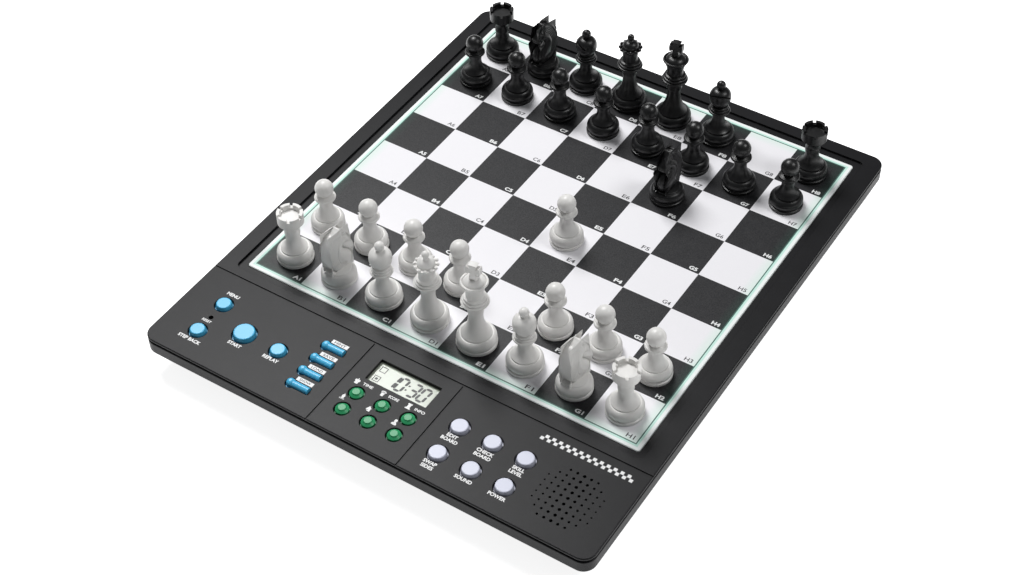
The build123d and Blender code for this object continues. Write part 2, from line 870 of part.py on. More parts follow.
def make_battery_contacts():
    """A plate at each end of each cell, and a coil spring on the plate that meets the flat end."""
    parts = []
    half_cell = (cell_length + cell_button_height) / 2
    plate_x = bay_width / 2 - contact_thickness / 2
    room = bay_width / 2 - contact_thickness - half_cell
    for n, y in enumerate(cell_ys):
        flat_side = -1 if n % 2 == 0 else 1
        for side in (-1, 1):
            plate = Box(contact_thickness, contact_size, contact_size)
            if side == flat_side:
                turn = 90 if side < 0 else -90
                spring_start = side * (plate_x - contact_thickness / 2 - spring_wire_radius)
                spring = coil_spring(room - 2 * spring_wire_radius)
                parts.append(Pos(spring_start, y, cell_z) * Rot(0, turn, 0) * spring)
            parts.append(Pos(side * plate_x, y, cell_z) * plate)
    return parts


def make_battery_door():
    """The sliding door: a plate with side tongues, and finger ridges near its rear end."""
    front = bay_front_y + door_gap
    length = base_edge_y - front
    middle = front + length / 2
    door = slab(bay_width - 2 * door_gap, length, base_z, door_top_z, y=middle)
    tongue_low = base_z + door_lip + door_gap
    door += slab(bay_width + 2 * door_tongue, length - wall - door_gap, tongue_low, door_top_z,
                 y=middle - (wall + door_gap) / 2)
    for n in range(door_grip_count):
        y = base_edge_y - wall - (n + 1) * door_grip_pitch
        door -= slab(bay_width / 3, door_grip_pitch / 2, base_z, base_z + door_grip_depth, y=y)
    return door


# ================================================================ fasteners and feet
def screw(radius, length, head_radius, head_height):
    """A cross-head screw pointing up, with the underside of its head at z = 0."""
    body = rod(radius, 0, length) + rod(head_radius, -head_height, 0)
    for turn in (0, 90):
        length_across = 2 * head_radius * screw_slot_reach
        slot = slab(length_across, screw_slot_width, -head_height, -head_height + screw_slot_depth)
        body -= Rot(0, 0, turn) * slot
    return body


def make_case_screws():
    seat = base_z + wall + screw_head_height
    length = post_foot_z + screw_grip - seat - screw_tip_gap
    body = screw(screw_radius, length, screw_head_radius, screw_head_height)
    return [Pos(x, y, seat) * body for x, y in case_screw_places]


def make_pcb_screws():
    length = pcb_thickness + pcb_screw_length - pcb_screw_tip_gap
    body = screw(small_screw_radius, length, small_head_radius, small_head_height)
    return [Pos(x, y, pcb_z) * body for x, y in pcb_screw_places]


def make_rubber_feet():
    foot = rod(foot_radius, 0, foot_height + foot_sink)
    foot = fillet(foot.faces().sort_by(Axis.Z)[0].edges(), foot_round)
    return [Pos(x, y, 0) * foot for x, y in foot_places]


# ================================================================ keys
def round_key(radius, rise, taper, edge_round):
    """A hollow cap with a retaining flange below the plate and a stem over its dome."""
    top = top_z + rise
    return turned([
        (0, key_foot_z),
        (key_stem_radius, key_foot_z),
        (key_stem_radius, top - key_shell),
        (radius - key_shell - taper, top - key_shell),
        (radius - key_shell, plate_z),
        (radius - key_shell, key_foot_z),
        (radius + key_flange, key_foot_z),
        (radius + key_flange, key_top_limit_z),
        (radius, key_top_limit_z),
        (radius, top_z),
        (radius - taper, top - edge_round),
        (radius - taper - edge_round, top, edge_round * key_round_bulge),
        (0, top),
    ])


def bar_key():
    """A round domed head with a half-round bar to its right, and a flange under the plate."""
    flange = extrude(bar_outline(bar_head_gap + bar_flange - bar_gap, bar_flange), amount=key_flange_height)
    side = closed_outline([
        (-bar_width / 2, key_top_limit_z),
        (bar_width / 2, key_top_limit_z),
        (bar_width / 2, top_z),
        (-bar_width / 2, top_z, bar_width / 2),
    ])
    bar_start = bar_head_x + bar_head_radius / 2
    bar = Pos(bar_start, 0, 0) * extrude(Plane.YZ * side, amount=bar_length / 2 - bar_start)
    head = turned([
        (0, key_top_limit_z),
        (bar_head_radius, key_top_limit_z),
        (bar_head_radius, top_z + bar_head_side),
        (bar_head_flat, top_z + bar_head_rise, bar_head_bulge),
        (0, top_z + bar_head_rise),
    ])
    return Pos(0, 0, key_foot_z) * flange + bar + Pos(bar_head_x, 0, 0) * head


def make_keys():
    keys = {}
    small = round_key(blue_radius, blue_rise, blue_taper, blue_round)
    for name, (x, y) in blue_keys.items():
        keys[name] = Pos(x, y, 0) * small
    large = round_key(large_blue_radius, large_blue_rise, blue_taper, blue_round)
    keys["blue_key_large"] = Pos(*large_blue_place, 0) * large
    bar = bar_key()
    for name, (x, y) in bar_keys.items():
        keys[name] = Pos(x, y, 0) * bar
    green = round_key(green_radius, green_rise, green_taper, green_round)
    for name, (x, y) in green_keys.items():
        keys[name] = Pos(x, y, 0) * green
    grey = round_key(grey_radius, grey_rise, grey_taper, grey_round)
    for name, (x, y) in grey_keys.items():
        keys[name] = Pos(x, y, 0) * grey
    return keys


# ================================================================ chessmen
def turned_foot(radius):
    """Outline of the foot that all chessmen share: a disc, a groove, a round ring and a small step."""
    ring_low = foot_disc_height + foot_groove_height
    step = radius - foot_ring_step - foot_step
    return [
        (0, 0),
        (radius - foot_disc_edge, 0),
        (radius, foot_disc_edge),
        (radius, foot_disc_height),
        (radius - foot_groove_depth, foot_disc_height + foot_groove_height / 2),
        (radius - foot_groove_depth, ring_low),
        (radius - foot_ring_step, foot_ring_top, foot_ring_bulge),
        (step, foot_ring_top),
        (step, foot_ring_top + foot_step),
    ]


def stacked_collars(radii, low, height):
    """Rounded rings one above the other, each parted from the next by a narrow groove."""
    points = []
    for n, radius in enumerate(radii):
        z = low + n * height
        points.append((radius, z))
        points.append((radius, z + height - collar_groove, collar_bulge))
        points.append((radius - collar_step, z + height))
    return points


def ball_neck_z(radius, top):
    """Height at which a ball that ends at the given top meets its own neck."""
    return top - radius - radius * math.sqrt(1 - ball_neck_share ** 2)


def ball_outline(radius, top):
    """The last part of an outline: a ball on its neck, up to the axis."""
    neck = radius * ball_neck_share
    neck_z = ball_neck_z(radius, top)
    chord = math.hypot(neck, top - neck_z)
    return [(neck, neck_z), (0, top, radius - math.sqrt(radius ** 2 - (chord / 2) ** 2))]


def neck_and_collars(neck, neck_z, bell, radii, low, height):
    """A flared neck that ends under a stack of collars."""
    return [
        (neck, neck_z, -bell),
        (neck, low - height),
        (radii[0] - collar_step, low, -neck_ring_bulge),
    ] + stacked_collars(radii, low, height)


def make_king():
    collar_top = king_collar_z + len(king_collars) * king_collar_height
    body = turned(turned_foot(king_foot) + neck_and_collars(
        king_neck, king_neck_z, king_bell, king_collars, king_collar_z, king_collar_height) + [
        (king_waist, collar_top + collar_groove),
        (king_waist, collar_top + king_waist_height),
        (king_crown, king_crown_z, -king_crown_flare),
        (king_crown - king_lip, king_crown_z + king_lip_drop, king_lip_drop),
        (king_crown - king_lip, king_crown_z),
        (king_boss, king_boss_z, king_crown_flare),
        (0, king_boss_z),
    ])
    low = king_crown_z + king_lip_drop
    middle = king_height - cross_width / 2
    tip = cross_arm + cross_flare
    half = cross_width / 2 - cross_bulge
    top = king_height - cross_bulge
    outline = [
        (-tip, low),
        (tip, low),
        (cross_arm, middle - cross_arm),
        (half, middle - tip),
        (half, middle + tip, cross_bulge),
        (cross_arm, middle + cross_arm),
        (tip, top),
        (-tip, top, cross_bulge),
        (-cross_arm, middle + cross_arm),
        (-half, middle + tip),
        (-half, middle - tip, cross_bulge),
        (-cross_arm, middle - cross_arm),
    ]
    cross = extrude(Plane.XZ * closed_outline(outline), amount=cross_thickness / 2, both=True)
    return body + cross


def make_queen():
    collar_top = queen_collar_z + len(queen_collars) * queen_collar_height
    dome_top = queen_crown_z + queen_dome_rise
    body = turned(turned_foot(queen_foot) + neck_and_collars(
        queen_neck, queen_neck_z, queen_bell, queen_collars, queen_collar_z, queen_collar_height) + [
        (queen_waist, collar_top + collar_groove),
        (queen_waist, collar_top + queen_waist_height),
        (queen_crown, queen_crown_z, -queen_crown_flare),
        (queen_dome, queen_crown_z),
        (queen_dome_tip, dome_top, queen_dome_bulge),
    ] + ball_outline(queen_ball, queen_height))
    for n in range(queen_lobe_count):
        lobe = Pos(queen_crown - queen_lobe_radius / 2, 0, queen_crown_z) * Sphere(queen_lobe_radius)
        body += Rot(0, 0, n * 360 / queen_lobe_count) * lobe
    return body


def make_bishop():
    collar_top = bishop_collar_z + len(bishop_collars) * bishop_collar_height
    lower_bulge, upper_bulge = bishop_head_bulges
    head_top = ball_neck_z(bishop_ball, bishop_height) - ball_neck_drop
    body = turned(turned_foot(bishop_foot) + neck_and_collars(
        bishop_neck, bishop_neck_z, bishop_bell, bishop_collars, bishop_collar_z, bishop_collar_height) + [
        (bishop_neck, collar_top + collar_groove),
        (bishop_head, bishop_head_z, lower_bulge),
        (bishop_ball * ball_neck_share, head_top, upper_bulge),
    ] + ball_outline(bishop_ball, bishop_height))
    reach = 2 * bishop_head
    slot = Box(2 * reach, reach, bishop_slot, align=(Align.CENTER, Align.MIN, Align.CENTER))
    cut = Pos(0, bishop_head - bishop_slot_depth, bishop_head_z) * Rot(bishop_slot_tilt, 0, 0) * slot
    return body - cut


def make_rook():
    cup_z = rook_height - rook_cup_depth
    body = turned(turned_foot(rook_foot) + [
        (rook_neck, rook_neck_z, -rook_bell),
        (rook_neck, rook_neck_z + rook_neck_length),
        (rook_head, rook_head_z, -rook_head_flare),
        (rook_head, rook_height),
        (rook_cup, rook_height),
        (rook_cup - rook_cup_taper, cup_z),
        (0, cup_z),
    ])
    notch = Pos(rook_head, 0, rook_height) * Box(rook_head, rook_notch_width, 2 * rook_notch_depth)
    for n in range(rook_notch_count):
        body -= Rot(0, 0, n * 360 / rook_notch_count) * notch
    return body


def make_pawn():
    collar_top = pawn_collar_z + pawn_collar_height
    return turned(turned_foot(pawn_foot) + [
        (pawn_neck, pawn_neck_z, -pawn_bell),
        (pawn_neck, pawn_neck_z + pawn_neck_length),
        (pawn_collar, pawn_collar_z + neck_ring_bulge, -foot_step),
        (pawn_collar - collar_step, collar_top, collar_bulge),
    ] + ball_outline(pawn_head, pawn_height))


def make_knight():
    """A horse's head facing +Y: a side and a front outline that cut each other, on the shared foot."""
    seat = foot_ring_top + foot_step
    foot = turned(turned_foot(knight_foot) + [(0, seat)])
    low = seat - knight_sink
    side = closed_outline([(forward, low + up, *bulge) for forward, up, *bulge in knight_side])
    right = [(half, low + up, bulge) for half, up, bulge in knight_front]
    left = [(-half, low + up, bulge) for half, up, bulge in knight_front]
    outline = [right[0][:2]] + right[1:] + [left[-1][:2]]
    outline += [(x, z, before[2]) for (x, z, _), before in zip(left[-2::-1], left[:0:-1])]
    reach = 2 * knight_foot
    horse = extrude(Plane.YZ * side, amount=reach, both=True)
    horse &= extrude(Plane.XZ * closed_outline(outline), amount=reach, both=True)
    return foot + horse


def square_place(file, rank, turn=0):
    """Where a chessman stands: file and rank count from 1 at the player's left near corner."""
    x = (file - (squares_across + 1) / 2) * square
    y = board_y + (rank - (squares_across + 1) / 2) * square
    return Pos(x, y, panel_z) * Rot(0, 0, turn)


def make_chessmen():
    king = make_king()
    queen = make_queen()
    bishop = make_bishop()
    knight = make_knight()
    rook = make_rook()
    pawn = make_pawn()
    white_pawn_squares = [(1, 2), (2, 2), (3, 2), (4, 2), (5, 4), (6, 2), (7, 2), (8, 2)]
    black_pawn_squares = [(file, 7) for file in range(1, squares_across + 1)]
    return {
        "white_rook_left": square_place(1, 1) * rook,
        "white_knight_left": square_place(2, 1, -8) * knight,
        "white_bishop_left": square_place(3, 1) * bishop,
        "white_queen": square_place(4, 1) * queen,
        "white_king": square_place(5, 1, 8) * king,
        "white_bishop_right": square_place(6, 1) * bishop,
        "white_knight_right": square_place(7, 1, -8) * knight,
        "white_rook_right": square_place(8, 1) * rook,
        "white_pawns": [square_place(file, rank) * pawn for file, rank in white_pawn_squares],
        "black_rook_left": square_place(1, 8) * rook,
        "black_knight_left": square_place(2, 8, 170) * knight,
        "black_bishop_left": square_place(3, 8, 130) * bishop,
        "black_queen": square_place(4, 8) * queen,
        "black_king": square_place(5, 8, 8) * king,
        "black_bishop_right": square_place(6, 8, 200) * bishop,
        "black_knight_right": square_place(6, 6, 178) * knight,
        "black_rook_right": square_place(8, 8) * rook,
        "black_pawns": [square_place(file, rank) * pawn for file, rank in black_pawn_squares],
    }


# ================================================================ build
nodes = {
    "top_cover": make_top_cover(),
    "bottom_cover": make_bottom_cover(),
    "board_panel": make_board_panel(),
    "sensor_membrane": make_sensor_membrane(),
    "membrane_ribbon": make_membrane_ribbon(),
    "ribbon_connector": make_ribbon_connector(),
    "main_pcb": make_main_pcb(),
    "processor_chip": make_processor_chip(),
    "reset_switch": make_reset_switch(),
    "key_mat": make_key_mat(),
    "lcd_glass": make_lcd_glass(),
    "lcd_holder": make_lcd_holder(),
    "lcd_strips": make_lcd_strips(),
    "speaker": make_speaker(),
    "speaker_lead": make_speaker_lead(),
    "battery_lead": make_battery_lead(),
    "batteries": make_batteries(),
    "battery_contacts": make_battery_contacts(),
    "battery_door": make_battery_door(),
    "case_screws": make_case_screws(),
    "pcb_screws": make_pcb_screws(),
    "rubber_feet": make_rubber_feet(),
}
nodes.update(make_keys())
nodes.update(make_chessmen())

os.makedirs("parts", exist_ok=True)
for name, shape in nodes.items():
    solids = [solid for item in (shape if isinstance(shape, list) else [shape]) for solid in item.solids()]
    export_step(solids[0] if len(solids) == 1 else Compound(children=solids), f"parts/{name}.step")
print(len(nodes), "nodes")
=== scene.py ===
# Electronic chess computer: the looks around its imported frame. Metres, in the frame of the CAD model:
# +X to the player's right, +Y away from the player, +Z up, origin under the middle of the case.
import json
import math

import bmesh
import bpy
from mathutils import Matrix, Vector
from mathutils.geometry import delaunay_2d_cdt


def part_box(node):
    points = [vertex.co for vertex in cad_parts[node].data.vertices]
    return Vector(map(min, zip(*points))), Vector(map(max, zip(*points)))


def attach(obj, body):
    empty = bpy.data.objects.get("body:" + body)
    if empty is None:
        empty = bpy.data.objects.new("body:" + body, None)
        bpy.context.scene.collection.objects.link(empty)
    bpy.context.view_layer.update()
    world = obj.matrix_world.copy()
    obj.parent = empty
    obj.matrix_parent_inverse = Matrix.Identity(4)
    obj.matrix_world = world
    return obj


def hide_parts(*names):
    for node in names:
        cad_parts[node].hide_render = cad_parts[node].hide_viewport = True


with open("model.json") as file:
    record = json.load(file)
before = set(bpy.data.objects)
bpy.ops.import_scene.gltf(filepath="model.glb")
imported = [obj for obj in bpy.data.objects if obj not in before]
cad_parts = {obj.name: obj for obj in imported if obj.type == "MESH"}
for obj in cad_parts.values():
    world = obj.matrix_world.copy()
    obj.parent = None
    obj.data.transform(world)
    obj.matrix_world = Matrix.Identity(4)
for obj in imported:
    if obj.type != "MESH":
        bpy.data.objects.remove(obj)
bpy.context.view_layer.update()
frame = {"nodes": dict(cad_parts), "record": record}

MM = 0.001
NODES = frame["nodes"]

# ---------------------------------------------------------------- places taken from the frame
panel_low, panel_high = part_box("board_panel")
cover_low, cover_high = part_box("top_cover")
glass_low, glass_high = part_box("lcd_glass")
SQUARES = 8
BORDER = 4.3 * MM
SQUARE = (panel_high.x - panel_low.x - 2 * BORDER) / SQUARES
BOARD_HALF = SQUARES * SQUARE / 2
BOARD_Y = (panel_low.y + panel_high.y) / 2
INK = 0.03 * MM
TOP_Z = cover_high.z
PANEL_Z = panel_high.z


def middle(node):
    """Centre of a CAD node's box at rest."""
    low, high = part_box(node)
    return (low + high) / 2


# ---------------------------------------------------------------- camera and stage
CAMERA_PLACE = (0.40671, -0.62859, 0.76468)
CAMERA_PAN = 33.758
CAMERA_TILT = 44.0
CAMERA_ROLL = -1.376
CAMERA_LENS = 62.572


def make_camera():
    data = bpy.data.cameras.new("camera")
    data.lens = CAMERA_LENS
    camera = bpy.data.objects.new("camera", data)
    bpy.context.scene.collection.objects.link(camera)
    turn = Matrix.Rotation(math.radians(CAMERA_PAN), 4, "Z")
    tilt = Matrix.Rotation(math.radians(CAMERA_TILT), 4, "X")
    roll = Matrix.Rotation(math.radians(CAMERA_ROLL), 4, "Z")
    camera.matrix_world = Matrix.Translation(CAMERA_PLACE) @ turn @ tilt @ roll
    bpy.context.scene.camera = camera


def softbox(name, azimuth, elevation, distance, size, radiance, aim=(0.0, 0.0, 0.03)):
    """A square light aimed at the object, of the given brightness per area."""
    data = bpy.data.lights.new(name, "AREA")
    data.shape = "SQUARE"
    data.size = size
    data.energy = radiance * math.pi * size ** 2
    light = bpy.data.objects.new(name, data)
    bpy.context.scene.collection.objects.link(light)
    a = math.radians(azimuth)
    e = math.radians(elevation)
    away = Vector((math.cos(a) * math.cos(e), math.sin(a) * math.cos(e), math.sin(e)))
    light.location = Vector(aim) + away * distance
    light.rotation_euler = away.to_track_quat("Z", "Y").to_euler()


def make_lights():
    world = bpy.data.worlds.new("studio")
    world.use_nodes = True
    background = world.node_tree.nodes["Background"]
    background.inputs["Color"].default_value = (0.96, 0.98, 1.0, 1.0)
    background.inputs["Strength"].default_value = 0.14
    bpy.context.scene.world = world
    bpy.context.scene.view_settings.view_transform = "Standard"
    softbox("key_softbox", 150, 58, 1.5, 0.6, 17.0)
    softbox("side_softbox", 24, 52, 1.6, 0.4, 13.0)


def make_floor():
    size = 6.0
    mesh = bmesh.new()
    bmesh.ops.create_grid(mesh, x_segments=1, y_segments=1, size=size)
    data = bpy.data.meshes.new("floor")
    mesh.to_mesh(data)
    mesh.free()
    floor = bpy.data.objects.new("floor", data)
    bpy.context.scene.collection.objects.link(floor)
    look = Surface("floor_paper", (0.9, 0.9, 0.9), 0.9)
    look.shader.inputs["Emission Color"].default_value = (1.0, 1.0, 1.0, 1.0)
    look.shader.inputs["Emission Strength"].default_value = 0.85
    data.materials.append(look.material)


# ---------------------------------------------------------------- materials
class Surface:
    """A Principled material, with short calls that add nodes in front of it."""

    def __init__(self, name, colour, roughness, **inputs):
        self.material = bpy.data.materials.new(name)
        self.material.use_nodes = True
        self.tree = self.material.node_tree
        self.shader = self.tree.nodes["Principled BSDF"]
        self.shader.inputs["Base Color"].default_value = (*colour, 1.0)
        self.shader.inputs["Roughness"].default_value = roughness
        for socket, value in inputs.items():
            self.shader.inputs[socket.replace("_", " ")].default_value = value
        self.place = self.node("TexCoord").outputs["Object"]

    def node(self, kind, inputs=None, **settings):
        """Adds a node; an input is a number, a colour or the socket that feeds it."""
        made = self.tree.nodes.new("ShaderNode" + kind)
        for key, value in settings.items():
            setattr(made, key, value)
        for key, value in (inputs or {}).items():
            self.feed(value, made.inputs[key])
        return made

    def feed(self, value, socket):
        if isinstance(value, bpy.types.NodeSocket):
            self.tree.links.new(value, socket)
        else:
            socket.default_value = value

    def math(self, operation, a, b=0.0, clamp=False):
        return self.node("Math", {0: a, 1: b}, operation=operation, use_clamp=clamp).outputs[0]

    def noise(self, size, detail=2.0, roughness=0.5):
        """A cloud from 0 to 1 whose lumps are about size across."""
        made = self.node("TexNoise", {"Vector": self.place, "Scale": 1.0 / size})
        made.inputs["Detail"].default_value = detail
        made.inputs["Roughness"].default_value = roughness
        return made.outputs["Fac"]

    def spread(self, value, low, high, start=0.3, end=0.7):
        """Takes value from start..end to low..high."""
        return self.node("MapRange", {0: value, 1: start, 2: end, 3: low, 4: high}).outputs[0]

    def mix(self, share, a, b):
        """Colour a where share is 0 and b where it is 1."""
        made = self.node("Mix", data_type="RGBA")
        self.feed(share, made.inputs["Factor"])
        for socket, colour in ((made.inputs[6], a), (made.inputs[7], b)):
            self.feed(colour if isinstance(colour, bpy.types.NodeSocket) else (*colour, 1.0), socket)
        return made.outputs[2]

    def colour(self, value):
        self.feed(value, self.shader.inputs["Base Color"])

    def roughness(self, value):
        self.feed(value, self.shader.inputs["Roughness"])

    def relief(self, height, depth, edge=0.0):
        """Bump of the given depth; edge is the radius by which sharp edges look rounded."""
        bump = self.node("Bump", {"Height": height, "Distance": depth})
        if edge > 0:
            rounded = self.node("Bevel", {"Radius": edge}, samples=4)
            self.feed(rounded.outputs[0], bump.inputs["Normal"])
        self.feed(bump.outputs[0], self.shader.inputs["Normal"])


def moulded(name, colour, shade, roughness, grain, depth, edge=0.0, **inputs):
    """Moulded plastic: a faint mottle between colour and shade, uneven gloss and a fine grain."""
    look = Surface(name, colour, roughness, **inputs)
    cloud = look.noise(14 * MM, 3.0)
    fine = look.noise(grain, 2.0, 0.6)
    blend = look.math("ADD", look.math("MULTIPLY", cloud, 0.6), look.math("MULTIPLY", fine, 0.4))
    look.colour(look.mix(look.spread(blend, 0.0, 1.0), colour, shade))
    look.roughness(look.spread(fine, roughness - 0.04, roughness + 0.05))
    look.relief(fine, depth, edge)
    return look


def board_print():
    """The printed checker and its thin outline, and its border: a painted highlight of a bevelled clear edge, white
    outside and green inside, and a painted green glow of light let in through that edge over the squares near it.
    """
    white = (0.86, 0.85, 0.88)
    charcoal = (0.009, 0.009, 0.011)
    look = Surface("board_print", white, 0.42, Specular_IOR_Level=0.25)
    shifted = look.node("VectorMath", {0: look.place, 1: (BOARD_HALF, BOARD_HALF - BOARD_Y, 0.0)}, operation="ADD")
    counted = look.node("VectorMath", {0: shifted.outputs[0], "Scale": 1.0 / SQUARE}, operation="SCALE")
    whole = look.node("VectorMath", {0: counted.outputs[0]}, operation="FLOOR")
    added = look.node("VectorMath", {0: whole.outputs[0], 1: (1.0, 1.0, 0.0)}, operation="DOT_PRODUCT")
    odd = look.math("FLOORED_MODULO", added.outputs["Value"], 2.0)
    centred = look.node("VectorMath", {0: look.place, 1: (0.0, BOARD_Y, 0.0)}, operation="SUBTRACT")
    spread = look.node("SeparateXYZ", {0: look.node("VectorMath", {0: centred.outputs[0]}, operation="ABSOLUTE").outputs[0]})
    reach = look.math("MAXIMUM", spread.outputs[0], spread.outputs[1])
    # Painted light: a green glow, as of light let in through the clear edge, rising over the last 6 mm of squares
    # towards the border.
    painted_edge_glow = look.spread(reach, 0.0, 1.0, BOARD_HALF - 6 * MM, BOARD_HALF)
    light = look.mix(painted_edge_glow, white, (0.74, 0.86, 0.81))
    dark = look.mix(painted_edge_glow, charcoal, (0.010, 0.026, 0.021))
    squares = look.mix(odd, dark, light)
    outside = look.math("GREATER_THAN", reach, BOARD_HALF)
    band = look.math("GREATER_THAN", reach, BOARD_HALF + 0.7 * MM)
    # Painted highlight: the border's white outer band stands for light on a bevelled clear edge; the mint inside it is
    # that edge's green.
    painted_bevel_highlight = look.spread(reach, 0.0, 1.0, BOARD_HALF + 1.7 * MM, BOARD_HALF + 2.3 * MM)
    border = look.mix(painted_bevel_highlight, (0.58, 0.84, 0.75), (0.90, 0.94, 0.93))
    lined = look.mix(band, (0.065, 0.16, 0.13), border)
    speckle = look.spread(look.noise(0.4 * MM, 2.0), 0.0, 0.06)
    printed = look.mix(outside, squares, lined)
    look.colour(look.mix(speckle, printed, (0.5, 0.5, 0.5)))
    look.roughness(look.spread(look.noise(6 * MM, 3.0), 0.38, 0.45))
    look.relief(look.noise(0.5 * MM), 0.01 * MM)
    return look


def glossy_glass():
    look = Surface("display_glass", (0.45, 0.49, 0.41), 0.14, Specular_IOR_Level=0.4)
    film = look.spread(look.noise(9 * MM, 2.0), 0.0, 1.0)
    look.colour(look.mix(film, (0.45, 0.49, 0.41), (0.41, 0.45, 0.375)))
    look.relief(look.noise(5 * MM), 0.01 * MM)
    return look


def brushed_metal(name, colour, roughness):
    look = Surface(name, colour, roughness, Metallic=1.0)
    streak = look.node("TexNoise", {"Scale": 1.0 / (0.4 * MM)})
    stretched = look.node("Mapping", {"Vector": look.place, "Scale": (0.1, 1.0, 1.0)})
    look.feed(stretched.outputs[0], streak.inputs["Vector"])
    look.roughness(look.spread(streak.outputs["Fac"], roughness - 0.08, roughness + 0.1))
    look.relief(streak.outputs["Fac"], 0.01 * MM)
    return look


def circuit_board():
    """Green solder resist with darker copper tracks showing through."""
    look = Surface("circuit_board", (0.02, 0.16, 0.06), 0.3)
    tracks = look.node("TexBrick", {"Vector": look.place, "Scale": 1.0 / (3.2 * MM), "Mortar Size": 0.12})
    share = look.math("MULTIPLY", tracks.outputs["Fac"], 0.7)
    look.colour(look.mix(share, (0.015, 0.13, 0.05), (0.04, 0.26, 0.10)))
    look.relief(tracks.outputs["Fac"], 0.03 * MM)
    return look


def make_materials():
    black_plastic = (0.008, 0.008, 0.009)
    return {
        "case_plastic": moulded("case_plastic", black_plastic, (0.011, 0.011, 0.0125), 0.42, 0.35 * MM, 0.02 * MM, 0.25 * MM,
                               Specular_IOR_Level=0.2),
        "board_print": board_print(),
        "membrane_film": moulded("membrane_film", (0.72, 0.73, 0.68), (0.62, 0.63, 0.58), 0.3, 0.6 * MM, 0.01 * MM),
        "connector_plastic": moulded("connector_plastic", (0.78, 0.74, 0.62), (0.7, 0.66, 0.54), 0.4, 0.3 * MM, 0.01 * MM),
        "circuit_board": circuit_board(),
        "chip_epoxy": moulded("chip_epoxy", (0.02, 0.02, 0.02), (0.03, 0.03, 0.03), 0.6, 0.2 * MM, 0.01 * MM),
        "silicone": moulded("silicone", (0.42, 0.43, 0.45), (0.5, 0.51, 0.53), 0.7, 0.5 * MM, 0.01 * MM),
        "display_glass": glossy_glass(),
        "display_frame": moulded("display_frame", (0.02, 0.02, 0.02), (0.03, 0.03, 0.03), 0.5, 0.4 * MM, 0.01 * MM),
        "speaker_cone": moulded("speaker_cone", (0.02, 0.02, 0.02), (0.035, 0.034, 0.033), 0.8, 0.5 * MM, 0.05 * MM),
        "wire_jacket": moulded("wire_jacket", (0.45, 0.02, 0.02), (0.38, 0.02, 0.02), 0.35, 0.5 * MM, 0.01 * MM),
        "cell_jacket": moulded("cell_jacket", (0.36, 0.38, 0.4), (0.42, 0.43, 0.45), 0.25, 2 * MM, 0.02 * MM),
        "contact_metal": brushed_metal("contact_metal", (0.72, 0.7, 0.66), 0.3),
        "screw_steel": brushed_metal("screw_steel", (0.45, 0.45, 0.47), 0.35),
        "foot_rubber": moulded("foot_rubber", (0.02, 0.02, 0.02), (0.03, 0.03, 0.03), 0.85, 0.6 * MM, 0.05 * MM),
        "blue_key_plastic": moulded("blue_key_plastic", (0.09, 0.53, 0.85), (0.08, 0.49, 0.80), 0.33, 0.5 * MM, 0.01 * MM),
        "green_key_plastic": moulded("green_key_plastic", (0.03, 0.36, 0.14), (0.025, 0.31, 0.12), 0.4, 0.5 * MM, 0.01 * MM),
        "grey_key_plastic": moulded("grey_key_plastic", (0.66, 0.68, 0.80), (0.62, 0.64, 0.76), 0.35, 0.5 * MM, 0.01 * MM),
        "white_chessman": moulded("white_chessman", (0.80, 0.79, 0.77), (0.76, 0.75, 0.73), 0.36, 0.8 * MM, 0.02 * MM),
        "black_chessman": moulded("black_chessman", (0.004, 0.004, 0.0045), (0.006, 0.006, 0.0065), 0.35, 0.8 * MM, 0.02 * MM),
    }


def dress_nodes(looks):
    """Gives every CAD node the material of its slot in the record."""
    for part in frame["record"]["subparts"]:
        data = NODES[part["node"]].data
        data.materials.clear()
        data.materials.append(looks[part["material_slot"]].material)


# ---------------------------------------------------------------- print
class Print:
    """Marks printed in one ink: thin closed shapes gathered into one mesh."""

    def __init__(self, name, colour, z):
        self.name = name
        self.z = z
        self.mesh = bmesh.new()
        look = moulded(name, colour, tuple(0.93 * c for c in colour), 0.4, 0.3 * MM, 0.005 * MM)
        self.material = look.material

    def shape(self, points):
        """A flat shape with the given (x, y) corners, counter-clockwise."""
        lower = [self.mesh.verts.new((x, y, self.z)) for x, y in points]
        upper = [self.mesh.verts.new((x, y, self.z + INK)) for x, y in points]
        self.mesh.faces.new(upper)
        self.mesh.faces.new(list(reversed(lower)))
        count = len(points)
        for n in range(count):
            after = (n + 1) % count
            self.mesh.faces.new((lower[n], lower[after], upper[after], upper[n]))

    def rectangle(self, x, y, width, height):
        """A rectangle about (x, y)."""
        w = width / 2
        h = height / 2
        self.shape([(x - w, y - h), (x + w, y - h), (x + w, y + h), (x - w, y + h)])

    def text(self, words, x, y, height, width=None, weight=0.0, anchor="CENTER"):
        """Words whose capitals are height tall, standing on y, with their middle, left or right end at x."""
        curve = bpy.data.curves.new(self.name, "FONT")
        curve.body = words
        curve.extrude = 0.5
        curve.offset = weight
        curve.resolution_u = 4
        holder = bpy.data.objects.new(self.name, curve)
        bpy.context.scene.collection.objects.link(holder)
        bpy.context.view_layer.update()
        data = bpy.data.meshes.new_from_object(holder.evaluated_get(bpy.context.evaluated_depsgraph_get()))
        xs = [v.co.x for v in data.vertices]
        ys = [v.co.y for v in data.vertices]
        scale_y = height / (max(ys) - min(ys))
        scale_x = width / (max(xs) - min(xs)) if width else scale_y
        start = {"LEFT": min(xs), "CENTER": (min(xs) + max(xs)) / 2, "RIGHT": max(xs)}[anchor]
        place = Matrix.Translation((x, y, self.z + INK / 2)) @ Matrix.Diagonal((scale_x, scale_y, INK, 1.0))
        data.transform(place @ Matrix.Translation((-start, -min(ys), 0.0)))
        self.mesh.from_mesh(data)
        bpy.data.objects.remove(holder)
        bpy.data.curves.remove(curve)
        bpy.data.meshes.remove(data)

    def finish(self, body="case"):
        bmesh.ops.recalc_face_normals(self.mesh, faces=self.mesh.faces)
        return piece(self.name, self.mesh, self.material, body, smooth=False)


